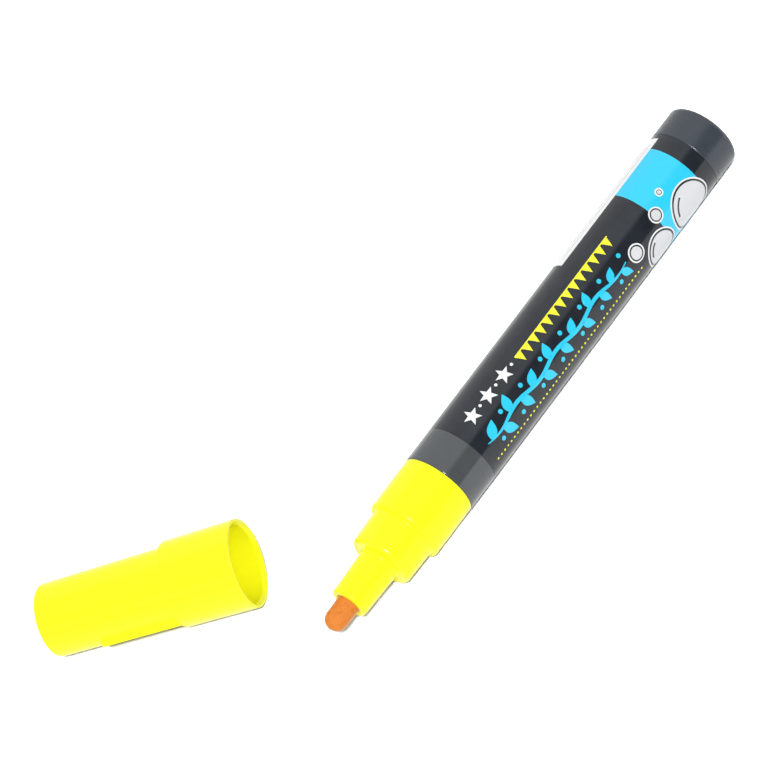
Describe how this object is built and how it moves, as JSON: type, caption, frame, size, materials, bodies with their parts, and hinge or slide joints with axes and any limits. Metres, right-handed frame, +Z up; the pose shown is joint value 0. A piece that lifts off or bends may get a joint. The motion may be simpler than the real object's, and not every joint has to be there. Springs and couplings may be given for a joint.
{
  "type": "liquid chalk marker",
  "caption": "Valve-action liquid chalk marker with a round fibre nib, stepped nib holder, labelled barrel and a pull-off cap lying beside it.",
  "frame": {"origin": "on the barrel's axis at its front rim, where the cap seat ends", "axes": "+X along the barrel from the nib to the tail, +Z up from the table that the marker and its cap lie on"},
  "size_m": [0.1586, 0.0741, 0.0184],
  "materials": {
    "barrel_grey": "satin moulded grey",
    "label_film": "printed film, satin",
    "holder_yellow": "smooth moulded yellow",
    "nib_fibre": "bonded fibre soaked with ink",
    "valve_white": "natural moulded",
    "steel": "bright",
    "cap_yellow": "smooth moulded yellow",
    "seal_white": "soft translucent"
  },
  "bodies": {
    "barrel": {"barrel": "barrel_grey", "label_wrap": "label_film", "tail_plug": "barrel_grey", "nib_holder": "holder_yellow", "valve_seat": "valve_white", "valve_cage": "valve_white", "valve_spring": "steel"},
    "nib": {"nib": "nib_fibre"},
    "valve_stem": {"valve_stem": "valve_white"},
    "mixing_ball": {"mixing_ball": "steel"},
    "cap": {"cap": "cap_yellow", "inner_cap": "seal_white"}
  },
  "joints": [
    {"name": "nib_press", "type": "slide", "parent": "barrel", "child": "nib", "axis": [1, 0, 0], "range_m": [0, 0.0015], "stiffness_N_per_m": 600, "deforming": ["valve_spring"]},
    {"name": "valve_open", "type": "slide", "parent": "barrel", "child": "valve_stem", "axis": [1, 0, 0], "range_m": [0, 0.0015]},
    {"name": "ball_roll", "type": "slide", "parent": "barrel", "child": "mixing_ball", "axis": [1, 0, 0], "range_m": [-0.033, 0.021]},
    {"name": "cap_slide", "type": "slide", "parent": "barrel", "child": "cap", "axis": [-0.6244, 0.7811, 0], "range_m": [-0.015, 0.02]}
  ],
  "couplings": [
    {"joint": "valve_open", "follows": "nib_press", "ratio": 1}
  ]
}
